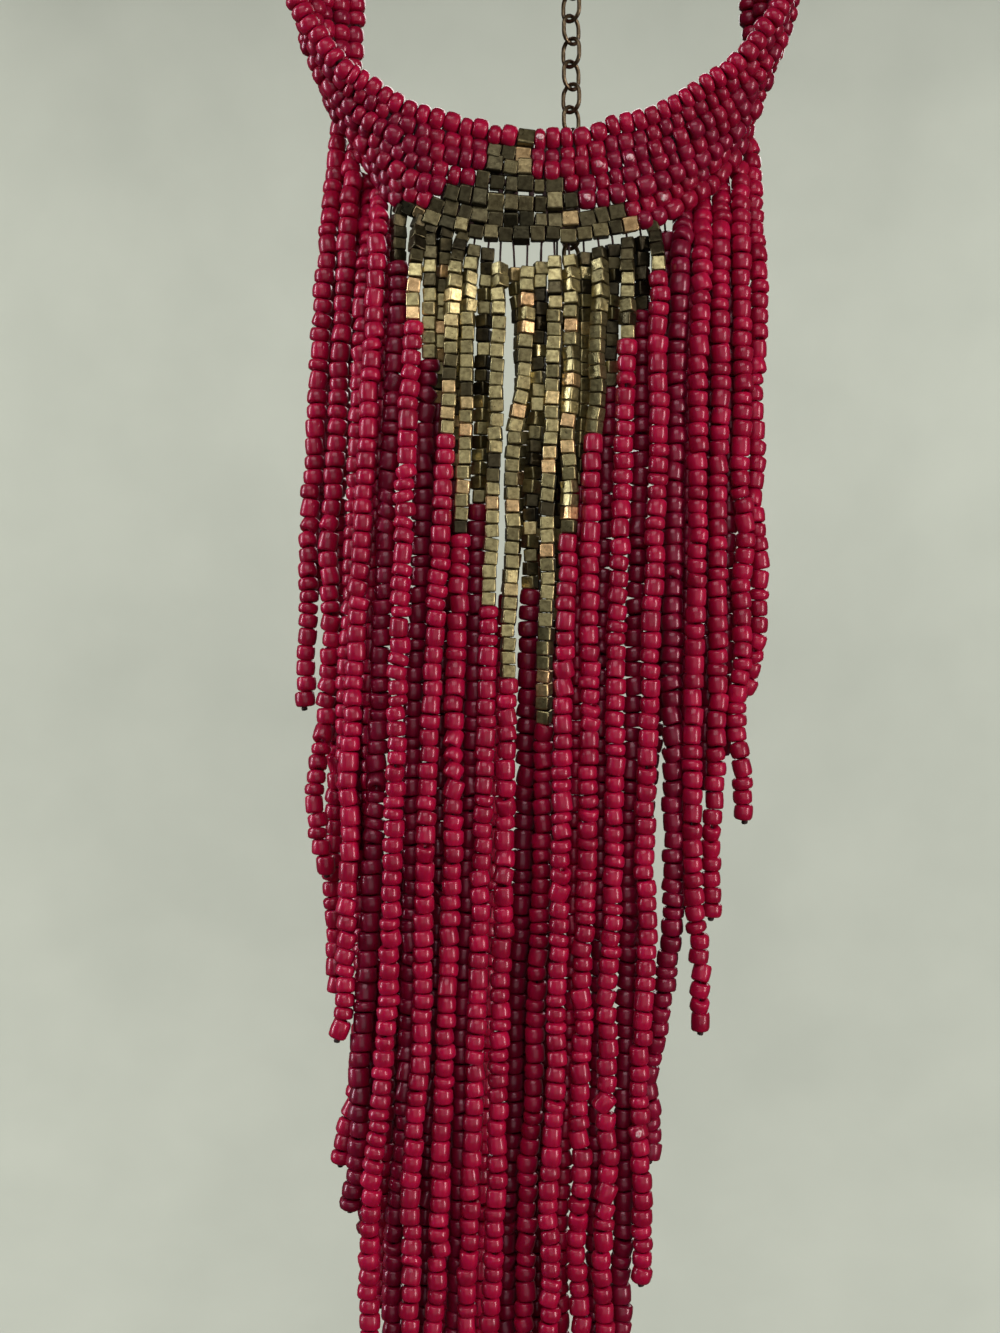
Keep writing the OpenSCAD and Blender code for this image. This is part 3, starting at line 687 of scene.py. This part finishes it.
class Paint:
    """A material, with short ways to add nodes to it."""

    def __init__(self, name):
        self.material = bpy.data.materials.new(name)
        self.material.use_nodes = True
        self.tree = self.material.node_tree
        self.shader = self.tree.nodes["Principled BSDF"]

    def set(self, **values):
        """Constant values on the shader's own sockets, with underscores for the spaces in their names."""
        for key, value in values.items():
            self.shader.inputs[key.replace("_", " ")].default_value = value

    def node(self, kind, **values):
        node = self.tree.nodes.new(kind)
        for key, value in values.items():
            if hasattr(node, key):
                setattr(node, key, value)
            else:
                node.inputs[key].default_value = value
        return node

    def link(self, output, target):
        self.tree.links.new(output, target)

    def ramp(self, source, stops):
        """Colours over the values of a source, from a table of places and colours."""
        node = self.node("ShaderNodeValToRGB")
        elements = node.color_ramp.elements
        while len(elements) < len(stops):
            elements.new(0.5)
        for element, (place, colour) in zip(elements, stops):
            element.position = place
            element.color = (*colour, 1)
        self.link(source, node.inputs[0])
        return node.outputs["Color"]

    def noise(self, scale, detail=3.0, rough=0.5):
        where = self.node("ShaderNodeTexCoord")
        node = self.node("ShaderNodeTexNoise", Scale=scale, Detail=detail, Roughness=rough)
        self.link(where.outputs["Object"], node.inputs["Vector"])
        return node.outputs["Fac"]

    def spread(self, source, low, high):
        """A noise's usual range, 0.3 to 0.7, spread from low to high."""
        node = self.node("ShaderNodeMapRange")
        node.inputs["From Min"].default_value = 0.3
        node.inputs["From Max"].default_value = 0.7
        node.inputs["To Min"].default_value = low
        node.inputs["To Max"].default_value = high
        self.link(source, node.inputs["Value"])
        return node.outputs["Result"]

    def multiply(self, first, second, share):
        """The first colour darkened by a share of the second."""
        node = self.node("ShaderNodeMix", data_type="RGBA", blend_type="MULTIPLY")
        node.inputs[0].default_value = share
        self.link(first, node.inputs[6])
        self.link(second, node.inputs[7])
        return node.outputs[2]

    def colour(self, output):
        self.link(output, self.shader.inputs["Base Color"])

    def roughness(self, output):
        self.link(output, self.shader.inputs["Roughness"])

    def bump(self, source, strength, distance):
        """Relief on the surface, up to a distance in metres."""
        node = self.node("ShaderNodeBump")
        node.inputs["Strength"].default_value = strength
        node.inputs["Distance"].default_value = distance
        self.link(source, node.inputs["Height"])
        self.link(node.outputs["Normal"], self.shader.inputs["Normal"])

    def tone(self):
        """Each bead's tone, from 0 to 1: its own random tone, with painted shade, painted light and painted
        glints on some beads. The metal solids have none, which gives 0.
        """
        return self.node("ShaderNodeAttribute", attribute_name="tone").outputs["Fac"]


def crimson_glass():
    paint = Paint("crimson_glass")
    cloud = paint.ramp(paint.noise(260, detail=2), CLOUD)
    paint.colour(paint.multiply(paint.ramp(paint.tone(), GLASS_COLOURS), cloud, share=1.0))
    paint.roughness(paint.spread(paint.noise(420), low=0.26, high=0.42))
    paint.set(Specular_IOR_Level=0.5, Specular_Tint=(1.0, 0.55, 0.7, 1), Coat_Weight=0.35, Coat_Roughness=0.1)
    paint.set(Subsurface_Weight=0.35, Subsurface_Radius=(1.0, 0.12, 0.2), Subsurface_Scale=0.0015)
    paint.bump(paint.noise(600, detail=2), strength=0.06, distance=0.0004)
    return paint.material


def broken_glass():
    paint = Paint("broken_glass")
    paint.colour(paint.ramp(paint.noise(1800), BROKEN_COLOURS))
    paint.set(Roughness=0.4)
    paint.bump(paint.noise(1600), strength=0.6, distance=0.0003)
    return paint.material


def antique_brass(name, stops):
    paint = Paint(name)
    patina = paint.ramp(paint.noise(900, detail=5, rough=0.6), PATINA)
    paint.colour(paint.multiply(paint.ramp(paint.tone(), stops), patina, share=0.8))
    paint.roughness(paint.spread(paint.noise(1300, detail=4), low=0.26, high=0.44))
    paint.set(Metallic=0.9)
    paint.bump(paint.noise(1500, detail=4), strength=0.25, distance=0.0002)
    return paint.material


def dark_thread():
    paint = Paint("dark_thread")
    paint.colour(paint.ramp(paint.noise(1500), THREAD_COLOURS))
    paint.set(Roughness=0.75)
    paint.bump(paint.noise(3500), strength=0.5, distance=0.0002)
    return paint.material


def plain_floor():
    paint = Paint("pale_floor")
    paint.colour(paint.ramp(paint.noise(6, detail=4), FLOOR_COLOURS))
    paint.set(Roughness=0.9)
    return paint.material


# Studio and camera

def make_floor():
    """A pale floor that sweeps up into a wall far away, all round, and sends no light to the necklace."""
    bend = [(FLOOR_FLAT + FLOOR_BEND * math.sin(a), FLOOR_HEIGHT + FLOOR_BEND * (1 - math.cos(a)))
            for a in np.linspace(0, math.pi / 2, BEND_POINTS)]
    profile = [(1, FLOOR_HEIGHT)] + bend + [(FLOOR_FLAT + FLOOR_BEND, WALL_TOP)]
    heap = Heap()
    radii, heights = zip(*profile)
    heap.add(rings(radii, heights, round_outline(FLOOR_SIDES)), closed=False)
    mesh = bpy.data.meshes.new("floor")
    faces = [face for face in heap.faces if len(face) == 4]
    mesh.from_pydata((np.concatenate(heap.points) * MM).tolist(), [], faces)
    mesh.polygons.foreach_set("use_smooth", [True] * len(mesh.polygons))
    mesh.materials.append(plain_floor())
    floor = bpy.data.objects.new("floor", mesh)
    floor.visible_glossy = False
    floor.visible_diffuse = False
    bpy.context.collection.objects.link(floor)


def make_light(name, place, target, size, power, colour):
    light = bpy.data.lights.new(name, "AREA")
    light.shape = "RECTANGLE"
    light.size, light.size_y = size
    light.energy = power
    light.color = colour
    lamp = bpy.data.objects.new(name, light)
    lamp.location = place
    away = np.array(place) - np.array(target)
    yaw = math.atan2(away[0], -away[1])
    pitch = math.atan2(math.hypot(away[0], away[1]), away[2])
    lamp.rotation_euler = (pitch, 0, yaw)
    lamp.visible_camera = False
    bpy.context.collection.objects.link(lamp)


def make_studio():
    make_floor()
    for name, values in LIGHTS.items():
        make_light(name, *values)
    world = bpy.data.worlds.new("studio")
    world.use_nodes = True
    background = world.node_tree.nodes["Background"]
    background.inputs["Color"].default_value = AMBIENT_COLOUR
    background.inputs["Strength"].default_value = AMBIENT_STRENGTH
    bpy.context.scene.world = world
    bpy.context.scene.view_settings.view_transform = "Standard"


def make_camera():
    data = bpy.data.cameras.new("camera")
    data.sensor_width = SENSOR
    data.lens = SENSOR * FOCAL_PIXELS / PICTURE_HEIGHT
    camera = bpy.data.objects.new("camera", data)
    camera.location = [v * MM for v in CAMERA_PLACE]
    camera.rotation_euler = (math.pi / 2, 0, 0)
    bpy.context.collection.objects.link(camera)
    bpy.context.scene.camera = camera


make_camera()
make_studio()

glass = crimson_glass()
fibre = dark_thread()
broken = broken_glass()
cube_brass = antique_brass("cube_brass", CUBE_COLOURS)
dark_brass = antique_brass("dark_brass", DARK_COLOURS)
chain_brass = antique_brass("chain_brass", CHAIN_COLOURS)
for part in ("extender_chain", "clasp_ring", "left_end_bar", "right_end_bar"):
    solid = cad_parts[part]
    solid.data.materials.clear()
    solid.data.materials.append(chain_brass)

band_edge = make_collar(glass, dark_brass, fibre, broken)
for strand in STRANDS:
    make_strand(strand, band_edge, glass, cube_brass, fibre, broken)
